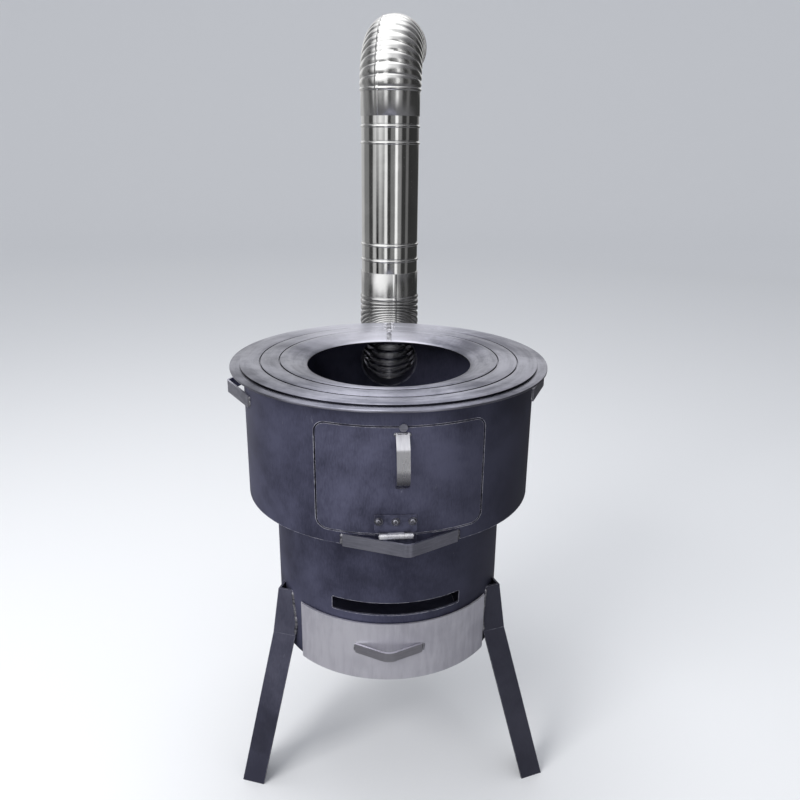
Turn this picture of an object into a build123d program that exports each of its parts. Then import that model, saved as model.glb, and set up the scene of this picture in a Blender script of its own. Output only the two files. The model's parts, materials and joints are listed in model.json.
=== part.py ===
from build123d import *
import os
from math import asin, cos, degrees, hypot, radians, sin, sqrt

# Outdoor cauldron stove. Origin on the drum axis at floor level, front towards -Y, +Z up.
# Azimuths are in degrees about +Z, from -Y towards +X. All lengths are in millimetres.

# Driving dimensions
SHEET = 3.0
DRUM_R = 225.0
DRUM_LOW = 500.0
DRUM_HIGH = 703.2
BASE_R = 182.5
BASE_LOW = 250.0
FLANGE_R = 245.0
FLANGE_HOLE_R = 212.0
BACK = 175.3
FRONT_LEGS = (-66.0, 61.0)
RUN = 0.3

# Cooking rings, from the outside inwards
OUTER_RING = (230.0, 200.5)
MIDDLE_RING = (198.5, 171.0)
INNER_RING = (169.0, 127.5)
SEAT_LAP = 7.5
SEAT_REACH = 10.5
DISH_START_R = 160.0
DISH_DEPTH = 9.5

# Fuel door and its hinge
DOOR_W = 230.0
DOOR_LOW = 520.5
DOOR_HIGH = 676.0
DOOR_GAP = 2.0
HINGE_X = -8.0
HINGE_Y = -233.5
HINGE_Z = 521.5
KNUCKLE_R = 4.0
PIN_R = 2.0
LEAF = 2.0
LEAF_W = 58.0
BOLT_Z = 540.0
BOLT_PITCH = 23.0
BOLT_R = 2.5

# Straps bent from flat bar
BAR_HALF_SPAN = 80.0
BAR_REACH = 26.0
BAR_H = 19.0
BAR_LOW = 498.0
HANDLE_Z = 667.0

# Air slot and ash drawer
SLOT_W = 193.0
SLOT_LOW = 360.0
SLOT_HIGH = 381.0
FRONT_OUT_R = 187.5
FRONT_W = 290.0
FRONT_LOW = 249.0
FRONT_HIGH = 347.0
PAN_W = 240.0
PAN_LOW = 256.0
PAN_HIGH = 316.0
PAN_SHEET = 1.5
DRAWER_HANDLE_AZ = -4.0

# Grate
GRATE_R = 174.0
GRATE_LOW = 492.3
GRATE_T = 10.0

# Legs of angle bar
ANGLE_W = 38.0
FOOT_R = 278.0
RIGHT_FOOT_R = 292.0
KNEE_R = 211.0
KNEE_Z = 273.0
LEG_TOP_R = 199.0
LEG_TOP_Z = 351.0

# Flue and chimney
FLUE_Z = 642.0
STUB_R = 52.0
STUB_TIP = 260.0
SOCKET_R = STUB_R + 0.4
PLEAT_R = 57.5
PLEAT_WALL = 1.5
LOW_BEND_START = 262.0
LOW_BEND = 91.0
PIPE_R = 54.0
PIPE_LOW = 745.3
PIPE_HIGH = 1112.0
COLLAR_R = 56.0
COLLAR_TOP = 788.0
BEADS = (811.0, 840.0, 1025.0, 1054.0)
TOP_COLLAR_LOW = 1072.0
TOP_BEND_START = 1121.0
TOP_BEND = 76.0
MOUTH_AZ = 168.0
MOUTH_LENGTH = 20.0
PIPE_AXIS = LOW_BEND_START + LOW_BEND

FLANGE_TOP = DRUM_HIGH + SHEET
RING_LOW = FLANGE_TOP + RUN


def tube(radius, wall, low, high):
    ring = Circle(radius) - Circle(radius - wall)
    return Pos(0, 0, low) * extrude(ring, amount=high - low)


def front_block(width, low, high, corner, centre_x=0.0):
    outline = Plane.XZ * Pos(centre_x, (low + high) / 2) * RectangleRounded(width, high - low, corner)
    return extrude(outline, amount=300)


def turned(shape, azimuth):
    return Rot(0, 0, azimuth) * shape


def box_between(x_range, y_range, z_range):
    lows = (x_range[0], y_range[0], z_range[0])
    highs = (x_range[1], y_range[1], z_range[1])
    sizes = [high - low for low, high in zip(lows, highs)]
    centre = [(high + low) / 2 for low, high in zip(lows, highs)]
    return Pos(*centre) * Box(*sizes)


def rod_x(radius, low, high):
    return Pos((low + high) / 2, HINGE_Y, HINGE_Z) * Rot(0, 90, 0) * Cylinder(radius, high - low)


# Straps: a flat bar that is bent in its own plane and extruded across its width

def unit(start, end):
    length = hypot(end[0] - start[0], end[1] - start[1])
    return ((end[0] - start[0]) / length, (end[1] - start[1]) / length)


def strip_side(points, offset):
    side = []
    for index, point in enumerate(points):
        before = unit(points[max(index - 1, 0)], points[max(index, 1)])
        after = unit(points[min(index, len(points) - 2)], points[min(index + 1, len(points) - 1)])
        normal = (-before[1] - after[1], before[0] + after[0])
        scale = 2 * offset / (normal[0] ** 2 + normal[1] ** 2)
        side.append((point[0] + normal[0] * scale, point[1] + normal[1] * scale))
    return side


def strap(points, thickness, width, bend):
    left = strip_side(points, thickness / 2)
    right = strip_side(points, -thickness / 2)
    face = make_face(Polyline(*left, *reversed(right), close=True))
    for index in range(1, len(points) - 1):
        before = unit(points[index - 1], points[index])
        after = unit(points[index], points[index + 1])
        left_turn = before[0] * after[1] - before[1] * after[0] > 0
        for corner, inside in ((left[index], left_turn), (right[index], not left_turn)):
            vertex = face.vertices().sort_by_distance(corner)[0]
            face = fillet(vertex, bend if inside else bend + thickness)
    return extrude(face, amount=width / 2, both=True)


def bow_bar(wall_r, half_span, reach, apex_x, low, height, bend):
    end_y = -sqrt((wall_r + SHEET / 2) ** 2 - half_span ** 2)
    points = [(-half_span, end_y), (apex_x, -wall_r - reach), (half_span, end_y)]
    bar = Pos(0, 0, low + height / 2) * strap(points, SHEET, height, bend)
    return bar - Pos(0, 0, low + height / 2) * Cylinder(wall_r, height * 2)


# Drums and plates

def upper_drum():
    body = tube(DRUM_R, SHEET, DRUM_LOW, DRUM_HIGH)
    opening = front_block(DOOR_W + 2 * DOOR_GAP, DOOR_LOW - DOOR_GAP, DOOR_HIGH + DOOR_GAP, 16)
    flue = Pos(0, -DRUM_R, FLUE_Z) * Rot(90, 0, 0) * Cylinder(STUB_R, 80)
    return body - opening - turned(flue, BACK)


def top_flange():
    return tube(FLANGE_R, FLANGE_R - FLANGE_HOLE_R, DRUM_HIGH, FLANGE_TOP)


def drum_floor():
    inner = BASE_R
    outer = DRUM_R - SHEET
    return tube(outer, outer - inner, DRUM_LOW, DRUM_LOW + SHEET)


def lower_drum():
    body = tube(BASE_R, SHEET, BASE_LOW, DRUM_LOW + SHEET)
    slot = front_block(SLOT_W, SLOT_LOW, SLOT_HIGH, 2)
    drawer_way = front_block(262, BASE_LOW + SHEET, FRONT_HIGH - 4, 6)
    return body - slot - drawer_way


def bottom_plate():
    return Pos(0, 0, BASE_LOW + SHEET / 2) * Cylinder(BASE_R - SHEET, SHEET)


def drawer_rails():
    rails = []
    for side in (-1, 1):
        span = sorted((side * 86, side * 94))
        rails.append(box_between(span, (-100, 100), (BASE_LOW + SHEET, PAN_LOW - RUN)))
    return Compound(children=rails)


def grate_lugs():
    lugs = []
    for azimuth in (45, 135, 225, 315):
        lug = box_between((-11, 11), (-179.0, -160), (GRATE_LOW - RUN - 4, GRATE_LOW - RUN))
        lugs.append(turned(lug, azimuth))
    return Compound(children=lugs)


def fire_grate():
    disc = Pos(0, 0, GRATE_LOW + GRATE_T / 2) * Cylinder(GRATE_R, GRATE_T)
    well = Pos(0, 0, GRATE_LOW + GRATE_T / 2) * Cylinder(GRATE_R - 14, GRATE_T)
    for row in range(-6, 7):
        gap = box_between((row * 24 - 7, row * 24 + 7), (-150, -6), (GRATE_LOW, GRATE_LOW + GRATE_T))
        disc -= gap & well
        disc -= mirror(gap, Plane.XZ) & well
    return disc


# Cooking rings

def flat_ring(outer, inner, low):
    return tube(outer, outer - inner, low, low + SHEET)


def ring_seat(ring_inner, ring_low):
    return tube(ring_inner + SEAT_LAP, SEAT_LAP + SEAT_REACH, ring_low - SHEET, ring_low)


def dished_ring():
    outer, inner = INNER_RING
    low = RING_LOW + 2 * RUN
    rim = low - DISH_DEPTH
    top = [(inner, rim + SHEET), (DISH_START_R, low + SHEET), (outer, low + SHEET)]
    under = [(outer, low), (DISH_START_R, low), (inner, rim)]
    profile = Plane.XZ * make_face(Polyline(*top, *under, close=True))
    return revolve(profile, axis=Axis.Z)


# Fuel door

def bolt_azimuths():
    return [degrees(asin((HINGE_X + step * BOLT_PITCH) / DRUM_R)) for step in (-1, 0, 1)]


def bolt_holes():
    hole = Pos(0, -DRUM_R, BOLT_Z) * Rot(90, 0, 0) * Cylinder(BOLT_R + 0.25, 20)
    return [turned(hole, azimuth) for azimuth in bolt_azimuths()]


def door_panel():
    panel = tube(DRUM_R, SHEET, DOOR_LOW, DOOR_HIGH) & front_block(DOOR_W, DOOR_LOW, DOOR_HIGH, 14)
    for hole in bolt_holes():
        panel -= hole
    return panel


def door_handle():
    side_plane = Plane(origin=(0, 0, 0), x_dir=(0, -1, 0), z_dir=(-1, 0, 0))
    wall = DRUM_R - 1
    points = [(wall, 668), (wall + 16, 650), (wall + 23.5, 622), (wall + 21, 603), (wall, 590)]
    bar = side_plane * strap(points, SHEET, 18, 12)
    return bar - tube(DRUM_R, 30, 560, 700)


def door_stop():
    disc = Pos(1, -DRUM_R - RUN - 1.5, DOOR_HIGH + 0.5) * Rot(90, 0, 0) * Cylinder(5.5, 3)
    stub = box_between((-2, 4), (-DRUM_R - 1, -DRUM_R), (DOOR_HIGH - 4.2, DOOR_HIGH - 1))
    return disc + (stub - tube(DRUM_R, 10, 600, 700))


def hinge_door_leaf():
    plate = tube(DRUM_R + LEAF, LEAF, HINGE_Z + LEAF, BOLT_Z + 10)
    plate &= front_block(LEAF_W, HINGE_Z + LEAF, BOLT_Z + 10, 3, HINGE_X)
    for hole in bolt_holes():
        plate -= hole
    web = box_between((HINGE_X - 11, HINGE_X + 11), (HINGE_Y, -DRUM_R - 0.2), (HINGE_Z + 2, HINGE_Z + 4))
    knuckle = rod_x(KNUCKLE_R, HINGE_X - 11, HINGE_X + 11)
    bore = rod_x(PIN_R + 0.05, HINGE_X - 12, HINGE_X + 12)
    return (plate + web + knuckle) - bore


def hinge_base_leaf():
    plate = tube(DRUM_R + LEAF, LEAF, DRUM_LOW + 2, HINGE_Z - LEAF)
    leaf = plate & front_block(LEAF_W, DRUM_LOW + 2, HINGE_Z - LEAF, 3, HINGE_X)
    for side in (-1, 1):
        span = sorted((HINGE_X + side * (11 + RUN), HINGE_X + side * 23))
        leaf += box_between(span, (HINGE_Y, -DRUM_R - 0.2), (HINGE_Z - 4, HINGE_Z - 2))
        leaf += rod_x(KNUCKLE_R, *span)
    return leaf - rod_x(PIN_R, HINGE_X - 30, HINGE_X + 30)


def hinge_pin():
    return rod_x(PIN_R, HINGE_X - 24, HINGE_X + 24)


def on_bolts(shape):
    return Compound(children=[turned(shape, azimuth) for azimuth in bolt_azimuths()])


def door_bolts():
    shank = Pos(0, -222, BOLT_Z) * Rot(90, 0, 0) * Cylinder(BOLT_R, 12.2)
    arch = make_face(Polyline((0, 0), (4.9, 0), (4.9, 1.1), (3.4, 2.9), (0, 3.2), close=True))
    head = revolve(Plane.XZ * arch, axis=Axis.Z)
    return on_bolts(shank + Pos(0, -DRUM_R - LEAF - 1, BOLT_Z) * Rot(90, 0, 0) * head)


def door_washers():
    ring = Circle(6) - Circle(BOLT_R + 0.2)
    return on_bolts(Pos(0, -DRUM_R - LEAF, BOLT_Z) * Rot(90, 0, 0) * extrude(ring, amount=1))


def door_nuts():
    ring = RegularPolygon(4.6, 6) - Circle(BOLT_R)
    return on_bolts(Pos(0, -217.8, BOLT_Z) * Rot(90, 0, 0) * extrude(ring, amount=4))


# Ash drawer

def pan_outline(half_width, front_r, low, high):
    sides = box_between((-half_width, half_width), (-200, 0), (low, high))
    back = Pos(0, 0, (low + high) / 2) * Cylinder(half_width, high - low)
    return (sides + back) & (Pos(0, 0, (low + high) / 2) * Cylinder(front_r, high - low))


def drawer_pan():
    inner_r = FRONT_OUT_R - SHEET
    shell = pan_outline(PAN_W / 2, inner_r, PAN_LOW, PAN_HIGH)
    return shell - pan_outline(PAN_W / 2 - PAN_SHEET, inner_r - PAN_SHEET, PAN_LOW + PAN_SHEET, PAN_HIGH + 1)


def drawer_front():
    panel = tube(FRONT_OUT_R, SHEET, FRONT_LOW, FRONT_HIGH)
    return panel & front_block(FRONT_W, FRONT_LOW, FRONT_HIGH, 2)


def drawer_handle():
    bar = bow_bar(FRONT_OUT_R, 50, 21, 0, 296, 15, 20)
    return turned(bar, DRAWER_HANDLE_AZ)


# Legs

def angle_section(radius, height):
    section = Pos(ANGLE_W / 2, SHEET / 2) * Rectangle(ANGLE_W, SHEET)
    section += Pos(SHEET / 2, ANGLE_W / 2) * Rectangle(SHEET, ANGLE_W)
    return Pos(0, -radius, height) * Rot(0, 0, 45) * section


def sloped_bar(low_r, low_z, high_r, high_z):
    run = Vector(0, low_r - high_r, high_z - low_z)
    return extrude(angle_section(low_r, low_z), amount=run.length, dir=run.normalized())


def leg(foot_r=FOOT_R):
    bar = sloped_bar(foot_r, 0, KNEE_R, KNEE_Z)
    return bar - Pos(0, 0, 300) * Cylinder(BASE_R + RUN, 300)


def leg_bracket():
    bar = sloped_bar(KNEE_R, KNEE_Z, LEG_TOP_R, LEG_TOP_Z)
    return bar - Pos(0, 0, 300) * Cylinder(BASE_R, 300)


# Flue and chimney. Each piece is built towards -Y and then turned to its azimuth.

def collar(plane, outer, inner, length):
    return extrude(plane * (Circle(outer) - Circle(inner)), amount=length)


def outward(distance, height):
    return Plane(origin=(0, -distance, height), x_dir=(1, 0, 0), z_dir=(0, -1, 0))


def flue_stub():
    return turned(collar(outward(219, FLUE_Z), STUB_R, STUB_R - 2, STUB_TIP - 219), BACK)


def pleated_bend(section_plane, bend_axis):
    section = section_plane * (Circle(PLEAT_R) - Circle(PLEAT_R - PLEAT_WALL))
    return revolve(section, axis=bend_axis, revolution_arc=90)


def lower_elbow():
    bend_axis = Axis((0, -LOW_BEND_START, FLUE_Z + LOW_BEND), (-1, 0, 0))
    elbow = pleated_bend(outward(LOW_BEND_START, FLUE_Z), bend_axis)
    elbow += collar(outward(234, FLUE_Z), SOCKET_R + 1.5, SOCKET_R, LOW_BEND_START - 235)
    elbow += collar(outward(LOW_BEND_START - 2, FLUE_Z), PLEAT_R, SOCKET_R, 2)
    neck = Plane(origin=(0, -PIPE_AXIS, FLUE_Z + LOW_BEND))
    seat = PIPE_LOW - RUN
    elbow += collar(neck, PLEAT_R, PLEAT_R - PLEAT_WALL, seat - 2 - FLUE_Z - LOW_BEND)
    elbow += collar(Plane(origin=(0, -PIPE_AXIS, seat - 2)), PLEAT_R, SOCKET_R, 2)
    elbow += collar(Plane(origin=(0, -PIPE_AXIS, seat - 1)), COLLAR_R, PIPE_R + RUN, COLLAR_TOP - seat + 1)
    return turned(elbow, BACK)


def chimney_pipe():
    pipe = Pos(0, 0, (PIPE_LOW + PIPE_HIGH) / 2) * Cylinder(PIPE_R, PIPE_HIGH - PIPE_LOW)
    for height in BEADS:
        pipe += Pos(0, 0, height) * Torus(PIPE_R - 0.4, 2.2)
    pipe -= Pos(0, 0, (PIPE_LOW + PIPE_HIGH) / 2) * Cylinder(PIPE_R - 1, PIPE_HIGH - PIPE_LOW + 2)
    return turned(Pos(0, -PIPE_AXIS, 0) * pipe, BACK)


def top_elbow():
    seat = PIPE_HIGH + RUN
    elbow = collar(Plane(origin=(0, 0, TOP_COLLAR_LOW)), COLLAR_R, PIPE_R + RUN, seat + 1 - TOP_COLLAR_LOW)
    elbow += collar(Plane(origin=(0, 0, seat)), PLEAT_R, SOCKET_R, 2)
    elbow += collar(Plane(origin=(0, 0, seat + 2)), PLEAT_R, PLEAT_R - PLEAT_WALL, TOP_BEND_START - seat - 2)
    bend_axis = Axis((0, -TOP_BEND, TOP_BEND_START), (1, 0, 0))
    elbow += pleated_bend(Plane(origin=(0, 0, TOP_BEND_START)), bend_axis)
    elbow += collar(outward(TOP_BEND, TOP_BEND_START + TOP_BEND), PLEAT_R, PIPE_R + RUN, MOUTH_LENGTH)
    back_x = PIPE_AXIS * sin(radians(BACK))
    back_y = -PIPE_AXIS * cos(radians(BACK))
    return Pos(back_x, back_y, 0) * turned(elbow, MOUTH_AZ)


def all_parts():
    middle_low = RING_LOW + RUN
    side_bar = bow_bar(DRUM_R, BAR_HALF_SPAN, BAR_REACH, 0, HANDLE_Z - BAR_H / 2, BAR_H, 8)
    return {
        "upper_drum": upper_drum(),
        "top_flange": top_flange(),
        "drum_floor": drum_floor(),
        "lower_drum": lower_drum(),
        "bottom_plate": bottom_plate(),
        "drawer_rails": drawer_rails(),
        "grate_lugs": grate_lugs(),
        "fire_grate": fire_grate(),
        "outer_ring": flat_ring(*OUTER_RING, RING_LOW),
        "outer_ring_seat": ring_seat(OUTER_RING[1], RING_LOW),
        "middle_ring": flat_ring(*MIDDLE_RING, middle_low),
        "middle_ring_seat": ring_seat(MIDDLE_RING[1], middle_low),
        "inner_ring": dished_ring(),
        "door_panel": door_panel(),
        "door_handle": door_handle(),
        "door_stop": door_stop(),
        "door_bolts": door_bolts(),
        "door_washers": door_washers(),
        "door_nuts": door_nuts(),
        "hinge_door_leaf": hinge_door_leaf(),
        "hinge_base_leaf": hinge_base_leaf(),
        "hinge_pin": hinge_pin(),
        "rest_bar": bow_bar(DRUM_R, BAR_HALF_SPAN, BAR_REACH, 8, BAR_LOW, BAR_H, 12),
        "left_handle": turned(side_bar, -90),
        "right_handle": turned(side_bar, 90),
        "drawer_pan": drawer_pan(),
        "drawer_front": drawer_front(),
        "drawer_handle": drawer_handle(),
        "leg_left": turned(leg(), FRONT_LEGS[0]),
        "leg_right": turned(leg(RIGHT_FOOT_R), FRONT_LEGS[1]),
        "leg_rear": turned(leg(), BACK),
        "leg_bracket_left": turned(leg_bracket(), FRONT_LEGS[0]),
        "leg_bracket_right": turned(leg_bracket(), FRONT_LEGS[1]),
        "leg_bracket_rear": turned(leg_bracket(), BACK),
        "flue_stub": flue_stub(),
        "lower_elbow": lower_elbow(),
        "chimney_pipe": chimney_pipe(),
        "top_elbow": top_elbow(),
    }


os.makedirs("parts", exist_ok=True)
for name, shape in all_parts().items():
    export_step(shape, f"parts/{name}.step")
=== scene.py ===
"""Looks of an outdoor cauldron stove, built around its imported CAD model.

Lengths are in metres, in the frame of the CAD model: origin at floor level on the drum
axis, front towards -Y, +Z up. Azimuths are in degrees about +Z, from -Y towards +X.
"""

import json
import math

import bpy
from mathutils import Matrix, Vector, noise


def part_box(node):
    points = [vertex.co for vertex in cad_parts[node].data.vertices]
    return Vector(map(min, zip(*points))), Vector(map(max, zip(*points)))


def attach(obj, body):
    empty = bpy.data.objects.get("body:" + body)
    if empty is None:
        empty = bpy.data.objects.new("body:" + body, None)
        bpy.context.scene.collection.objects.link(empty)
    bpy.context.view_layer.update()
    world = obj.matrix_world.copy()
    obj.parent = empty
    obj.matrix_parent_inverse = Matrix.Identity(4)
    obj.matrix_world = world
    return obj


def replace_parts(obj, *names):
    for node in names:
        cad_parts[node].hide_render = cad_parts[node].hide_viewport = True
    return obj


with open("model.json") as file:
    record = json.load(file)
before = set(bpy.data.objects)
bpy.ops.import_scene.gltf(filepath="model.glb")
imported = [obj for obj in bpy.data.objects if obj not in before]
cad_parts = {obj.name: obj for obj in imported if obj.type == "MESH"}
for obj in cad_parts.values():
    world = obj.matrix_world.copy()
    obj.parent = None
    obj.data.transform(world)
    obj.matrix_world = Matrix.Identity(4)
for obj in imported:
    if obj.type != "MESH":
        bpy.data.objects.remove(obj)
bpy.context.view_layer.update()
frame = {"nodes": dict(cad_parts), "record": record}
NODES = frame["nodes"]
MOUNTS = {mount["name"]: mount for mount in frame["record"]["mounts"]}

MM = 0.001
UP = Vector((0, 0, 1))

# Plate, edges and welds
PLATE = 3 * MM
EDGE = 0.5 * MM
WELD_WIDTH = 9 * MM
DISH_SLOPE = 6.5 / 32

# Chimney. The sleeve of the flue elbow ends at SLEEVE_END_R from the drum axis.
PIPE_BEADS = (811 * MM, 840 * MM, 1025 * MM, 1054 * MM)
PLEAT_WALL = 0.6 * MM
PLEATS_TOP = 10
PLEATS_LOW = 11
PLEAT_DEPTH_OUT = 2.6 * MM
PLEAT_DEPTH_IN = 3.2 * MM
LOW_BEND = 91 * MM
SLEEVE_END_R = 234 * MM
MOUTH_LENGTH = 20 * MM
SEAM_WIDTH = 6.0 * MM
SEAM_HEIGHT = 0.7 * MM
SEAM_HALF_ANGLE = SEAM_WIDTH / 2 / (57 * MM)

# Camera
LENS = 34.2
SENSOR = 36.0
CAMERA_AT = Vector((-0.094, -1.146, 1.031))
PITCH = math.radians(-18.9)
YAW = math.radians(5.59)
ROLL = math.radians(0.6)

# Lamps, each with its place and the point it is aimed at, and the height of the surround's centre
KEY_AT, KEY_TO = (-1.9, -1.7, 2.2), (0, 0, 0.55)
TOP_AT, TOP_TO = (-0.2, 0.5, 2.9), (0, 0, 0.7)
SURROUND_Z = 0.9


# ---- reading the frame

def corner_points(node):
    return [vertex.co for vertex in NODES[node].data.vertices]


def radii(node):
    """Smallest and largest distance of a node from the drum axis."""
    spans = [math.hypot(point.x, point.y) for point in corner_points(node)]
    return min(spans), max(spans)


def middle(node):
    low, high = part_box(node)
    return (low + high) / 2


def azimuth_of(point):
    return math.degrees(math.atan2(point.x, -point.y))


def outward(azimuth):
    angle = math.radians(azimuth)
    return Vector((math.sin(angle), -math.cos(angle), 0))


def sideways(azimuth):
    angle = math.radians(azimuth)
    return Vector((math.cos(angle), math.sin(angle), 0))


def at(azimuth, radius, height):
    return outward(azimuth) * radius + UP * height


PIPE = middle("chimney_pipe")
BACK = azimuth_of(PIPE)
DRUM_R = radii("upper_drum")[1]
BASE_R = radii("lower_drum")[1]


# ---- mesh helpers

def new_object(name, shape, material):
    """An object from a shape, which is a pair: its points and its faces."""
    points, faces = shape
    mesh = bpy.data.meshes.new(name)
    mesh.from_pydata(points, [], faces)
    mesh.materials.append(material)
    piece = bpy.data.objects.new(name, mesh)
    bpy.context.scene.collection.objects.link(piece)
    return piece


def smoothed(mesh):
    mesh.polygons.foreach_set("use_smooth", [True] * len(mesh.polygons))


def finish_mesh(name, shape, body, material, sharp=38):
    """A visible piece, smooth except over edges sharper than an angle in degrees."""
    piece = new_object(name, shape, material)
    smoothed(piece.data)
    piece.data.set_sharp_from_angle(angle=math.radians(sharp))
    piece.data.validate()
    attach(piece, body)
    return piece


def skin(loops, wrap):
    """Quads between loops of equal length.

    wrap joins the last loop to the first. Otherwise both ends are capped."""
    count = len(loops[0])
    points = [point for loop in loops for point in loop]
    faces = []
    spans = len(loops) if wrap else len(loops) - 1
    for row in range(spans):
        here, there = row * count, ((row + 1) % len(loops)) * count
        for step in range(count):
            after = (step + 1) % count
            faces.append((here + step, here + after, there + after, there + step))
    if not wrap:
        faces.append(tuple(range(count))[::-1])
        faces.append(tuple((len(loops) - 1) * count + step for step in range(count)))
    return points, faces


def joined(parts):
    """Several skins as one list of points and one of faces."""
    points, faces = [], []
    for some_points, some_faces in parts:
        start = len(points)
        points += some_points
        faces += [tuple(start + index for index in face) for face in some_faces]
    return points, faces


def turned_loops(profile, centre, angles, ripple=None):
    """One loop round a vertical axis for each (radius, height) of the profile."""
    loops = []
    for radius, height in profile:
        loop = []
        for angle in angles:
            grown = radius + (ripple(angle, height) if ripple else 0)
            loop.append((centre.x + grown * math.sin(angle), centre.y - grown * math.cos(angle), height))
        loops.append(loop)
    return loops


def even_angles(count):
    return [math.tau * step / count for step in range(count)]


def hoop(heart, inward, across, angles, radius_at):
    """A loop of points round a heart, in the plane of two directions."""
    return [heart + (inward * math.cos(angle) + across * math.sin(angle)) * radius_at(angle)
            for angle in angles]


def drift(x, y, z):
    """Smooth noise between about -1 and 1, the same for the same place."""
    return noise.noise(Vector((x, y, z)))


def smooth_step(value):
    value = min(max(value, 0), 1)
    return value * value * (3 - 2 * value)


# ---- node helpers

class Nodes:
    """A small builder for a material's node tree."""

    def __init__(self, name):
        self.material = bpy.data.materials.new(name)
        self.material.use_nodes = True
        self.tree = self.material.node_tree
        self.shader = self.tree.nodes["Principled BSDF"]
        self.place = self.add("ShaderNodeTexCoord").outputs["Object"]

    def add(self, kind, **settings):
        node = self.tree.nodes.new(kind)
        for key, value in settings.items():
            setattr(node, key, value)
        return node

    def feed(self, socket, value):
        if isinstance(value, bpy.types.NodeSocket):
            self.tree.links.new(value, socket)
        else:
            socket.default_value = value

    def wired(self, kind, values, **settings):
        """Outputs of a new node whose first inputs take the values."""
        node = self.add(kind, **settings)
        for socket, value in zip(node.inputs, values):
            self.feed(socket, value)
        return node.outputs

    def math(self, operation, *values):
        return self.wired("ShaderNodeMath", values, operation=operation)[0]

    def vector_math(self, operation, *values, out="Vector"):
        return self.wired("ShaderNodeVectorMath", values, operation=operation)[out]

    def axes(self, source):
        """The X, Y and Z sockets of a vector."""
        return self.wired("ShaderNodeSeparateXYZ", [source])

    def mix(self, factor, first, second):
        node = self.add("ShaderNodeMix", data_type="RGBA")
        self.feed(node.inputs["Factor"], factor)
        for socket, value in ((node.inputs[6], first), (node.inputs[7], second)):
            self.feed(socket, (*value, 1) if isinstance(value, tuple) else value)
        return node.outputs[2]

    def span(self, value, low, high, to_low=0.0, to_high=1.0):
        """Eases from one number to another while the value runs from low to high."""
        return self.wired("ShaderNodeMapRange", (value, low, high, to_low, to_high),
                          interpolation_type="SMOOTHSTEP")[0]

    def weighted(self, *terms):
        """Sum of (value, weight) pairs."""
        total = None
        for value, weight in terms:
            term = self.math("MULTIPLY", value, weight)
            total = term if total is None else self.math("ADD", total, term)
        return total

    def scaled(self, scale):
        return self.vector_math("MULTIPLY", self.place, scale)

    def noise(self, scale, detail=3.0, rough=0.5, source=None, distortion=0.0, offset=0.0):
        node = self.add("ShaderNodeTexNoise")
        vector = source or self.place
        if offset:
            vector = self.vector_math("ADD", vector, (offset, offset * 0.7, -offset))
        self.feed(node.inputs["Vector"], vector)
        self.feed(node.inputs["Scale"], scale)
        self.feed(node.inputs["Detail"], detail)
        self.feed(node.inputs["Roughness"], rough)
        self.feed(node.inputs["Distortion"], distortion)
        return node.outputs[0]

    def polar(self, centre=(0.0, 0.0), around=1.0, rise=1.0):
        """Noise coordinates that run round a vertical axis: the direction scaled by around, and a lift.

        rise is a number that multiplies the height, or a socket that is the lift itself."""
        moved = self.vector_math("SUBTRACT", self.place, (*centre, 0))
        direction = self.vector_math("NORMALIZE", self.vector_math("MULTIPLY", moved, (1, 1, 0)))
        if not isinstance(rise, bpy.types.NodeSocket):
            rise = self.math("MULTIPLY", self.axes(moved)[2], rise)
        combined = self.add("ShaderNodeCombineXYZ")
        self.feed(combined.inputs[2], rise)
        return self.vector_math("MULTIPLY_ADD", direction, (around, around, 0), combined.outputs[0])

    def from_axis(self, scale):
        """Distance from the drum axis, scaled."""
        flat = self.scaled((1, 1, 0))
        return self.math("MULTIPLY", self.vector_math("LENGTH", flat, out="Value"), scale)

    def towards(self, azimuth, start, share=1.0):
        """0 up to a share as the direction from the drum axis turns to an azimuth.

        It begins where the cosine of the angle to that azimuth is start."""
        direction = self.vector_math("NORMALIZE", self.scaled((1, 1, 0)))
        match = self.vector_math("DOT_PRODUCT", direction, tuple(outward(azimuth)), out="Value")
        return self.span(match, start, 1.0, 0, share)

    def upright(self):
        """1 on faces that stand upright, 0 on those that lie flat."""
        rise = self.axes(self.add("ShaderNodeNewGeometry").outputs["True Normal"])[2]
        return self.span(self.math("ABSOLUTE", rise), 0.8, 0.35)

    def edged(self, colour, radius, share, tone):
        """The colour, with a share of a tone laid along the edges of the sheet."""
        bevel = self.add("ShaderNodeBevel", samples=6)
        bevel.inputs["Radius"].default_value = radius
        normal = self.add("ShaderNodeNewGeometry").outputs["Normal"]
        match = self.vector_math("DOT_PRODUCT", bevel.outputs[0], normal, out="Value")
        return self.mix(self.math("MULTIPLY", self.span(match, 0.995, 0.80), share), colour, tone)

    def bump(self, height, distance, strength):
        node = self.add("ShaderNodeBump")
        node.inputs["Strength"].default_value = strength
        node.inputs["Distance"].default_value = distance
        self.feed(node.inputs["Height"], height)
        return node.outputs[0]

    def done(self, colour, roughness, normal=None, metallic=1.0, **plain):
        self.feed(self.shader.inputs["Base Color"], colour)
        self.feed(self.shader.inputs["Roughness"], roughness)
        self.shader.inputs["Metallic"].default_value = metallic
        for name, value in plain.items():
            self.shader.inputs[name.replace("_", " ")].default_value = value
        if normal is not None:
            self.feed(self.shader.inputs["Normal"], normal)
        return self.material


# ---- materials

def dimmed(colour, share):
    return tuple(share * part for part in colour)


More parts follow.
